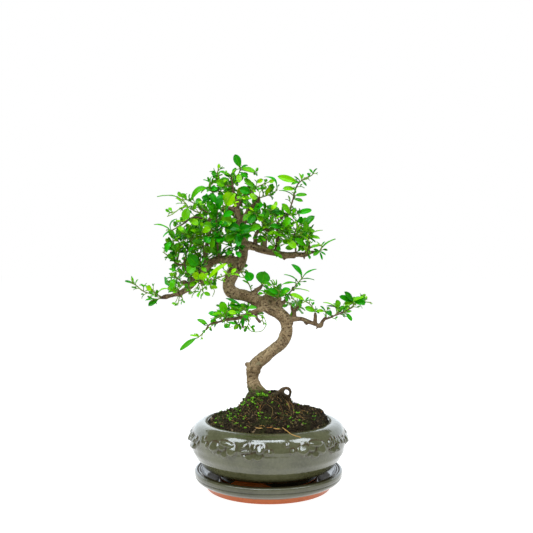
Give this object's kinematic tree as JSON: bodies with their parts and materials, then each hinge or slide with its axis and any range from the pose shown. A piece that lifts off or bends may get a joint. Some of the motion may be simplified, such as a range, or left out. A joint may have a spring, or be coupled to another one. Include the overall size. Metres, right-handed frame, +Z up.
{
  "type": "bonsai tree in pot",
  "caption": "Small-leaved bonsai with an S-curved trunk, growing in a round glazed pot with raised flower sprays, on its saucer.",
  "frame": {"origin": "middle of the saucer's flat underside, on the surface it stands on", "axes": "+Z up along the pot's turning axis; -Y towards the side the tree is shown from; +X to that side's right"},
  "size_m": [0.2417, 0.158, 0.3295],
  "materials": {
    "pot_glaze": "glossy olive grey-green glaze on fired clay, foot left bare",
    "saucer_glaze": "glossy olive grey-green glaze, bare terracotta band at the foot",
    "soil": "dark crumbly soil with moss",
    "bark": "matte grey-brown bark",
    "leaf": "glossy green leaves on reddish-brown twigs",
    "young_leaf": "glossy yellow-green young leaves"
  },
  "bodies": {
    "root": {"leafy_stem_apex": "leaf", "leafy_stem_arch_cluster": "leaf", "leafy_stem_arched_leaf": "leaf", "leafy_stem_back_heart": "leaf", "leafy_stem_back_left": "leaf", "leafy_stem_back_post": "leaf", "leafy_stem_back_right": "leaf", "leafy_stem_back_rise": "leaf", "leafy_stem_bright_shoot": "young_leaf", "leafy_stem_crown_back_left": "leaf", "leafy_stem_crown_back_middle": "leaf", "leafy_stem_crown_back_right": "leaf", "leafy_stem_crown_back_top": "leaf", "leafy_stem_dark_twig": "leaf", "leafy_stem_fork_front": "leaf", "leafy_stem_fork_shoot": "leaf", "leafy_stem_front_twig": "leaf", "leafy_stem_left_back": "leaf", "leafy_stem_left_back_low": "leaf", "leafy_stem_left_bright": "young_leaf", "leafy_stem_left_end": "leaf", "leafy_stem_left_face": "leaf", "leafy_stem_left_inner": "leaf", "leafy_stem_left_knot": "leaf", "leafy_stem_left_rise_back": "leaf", "leafy_stem_left_shoot": "leaf", "leafy_stem_left_tip": "leaf", "leafy_stem_left_twig": "leaf", "leafy_stem_left_yellow": "young_leaf", "leafy_stem_low_left_back": "leaf", "leafy_stem_low_left_cluster": "leaf", "leafy_stem_low_left_inner": "leaf", "leafy_stem_low_left_leaves": "leaf", "leafy_stem_low_left_tip": "leaf", "leafy_stem_low_right_back": "leaf", "leafy_stem_low_right_tip": "leaf", "leafy_stem_pale_leaf": "leaf", "leafy_stem_post_shoot": "leaf", "leafy_stem_prong_shoot": "leaf", "leafy_stem_red_twig": "leaf", "leafy_stem_right_end": "leaf", "leafy_stem_right_front": "leaf", "leafy_stem_right_tip": "leaf", "leafy_stem_right_under": "leaf", "leafy_stem_right_upright": "leaf", "leafy_stem_round_leaf": "young_leaf", "leafy_stem_shoulder_back": "leaf", "leafy_stem_shoulder_shoot": "leaf", "leafy_stem_small_twig": "leaf", "leafy_stem_top_middle": "leaf", "leafy_stem_trunk_front": "leaf", "leafy_stem_trunk_shoot": "young_leaf", "leafy_stem_upper_left": "young_leaf", "leafy_stem_upper_right": "leaf", "leafy_stem_yellow_leaf": "young_leaf", "pot": "pot_glaze", "saucer": "saucer_glaze", "soil": "soil", "trunk": "bark"}
  },
  "joints": []
}
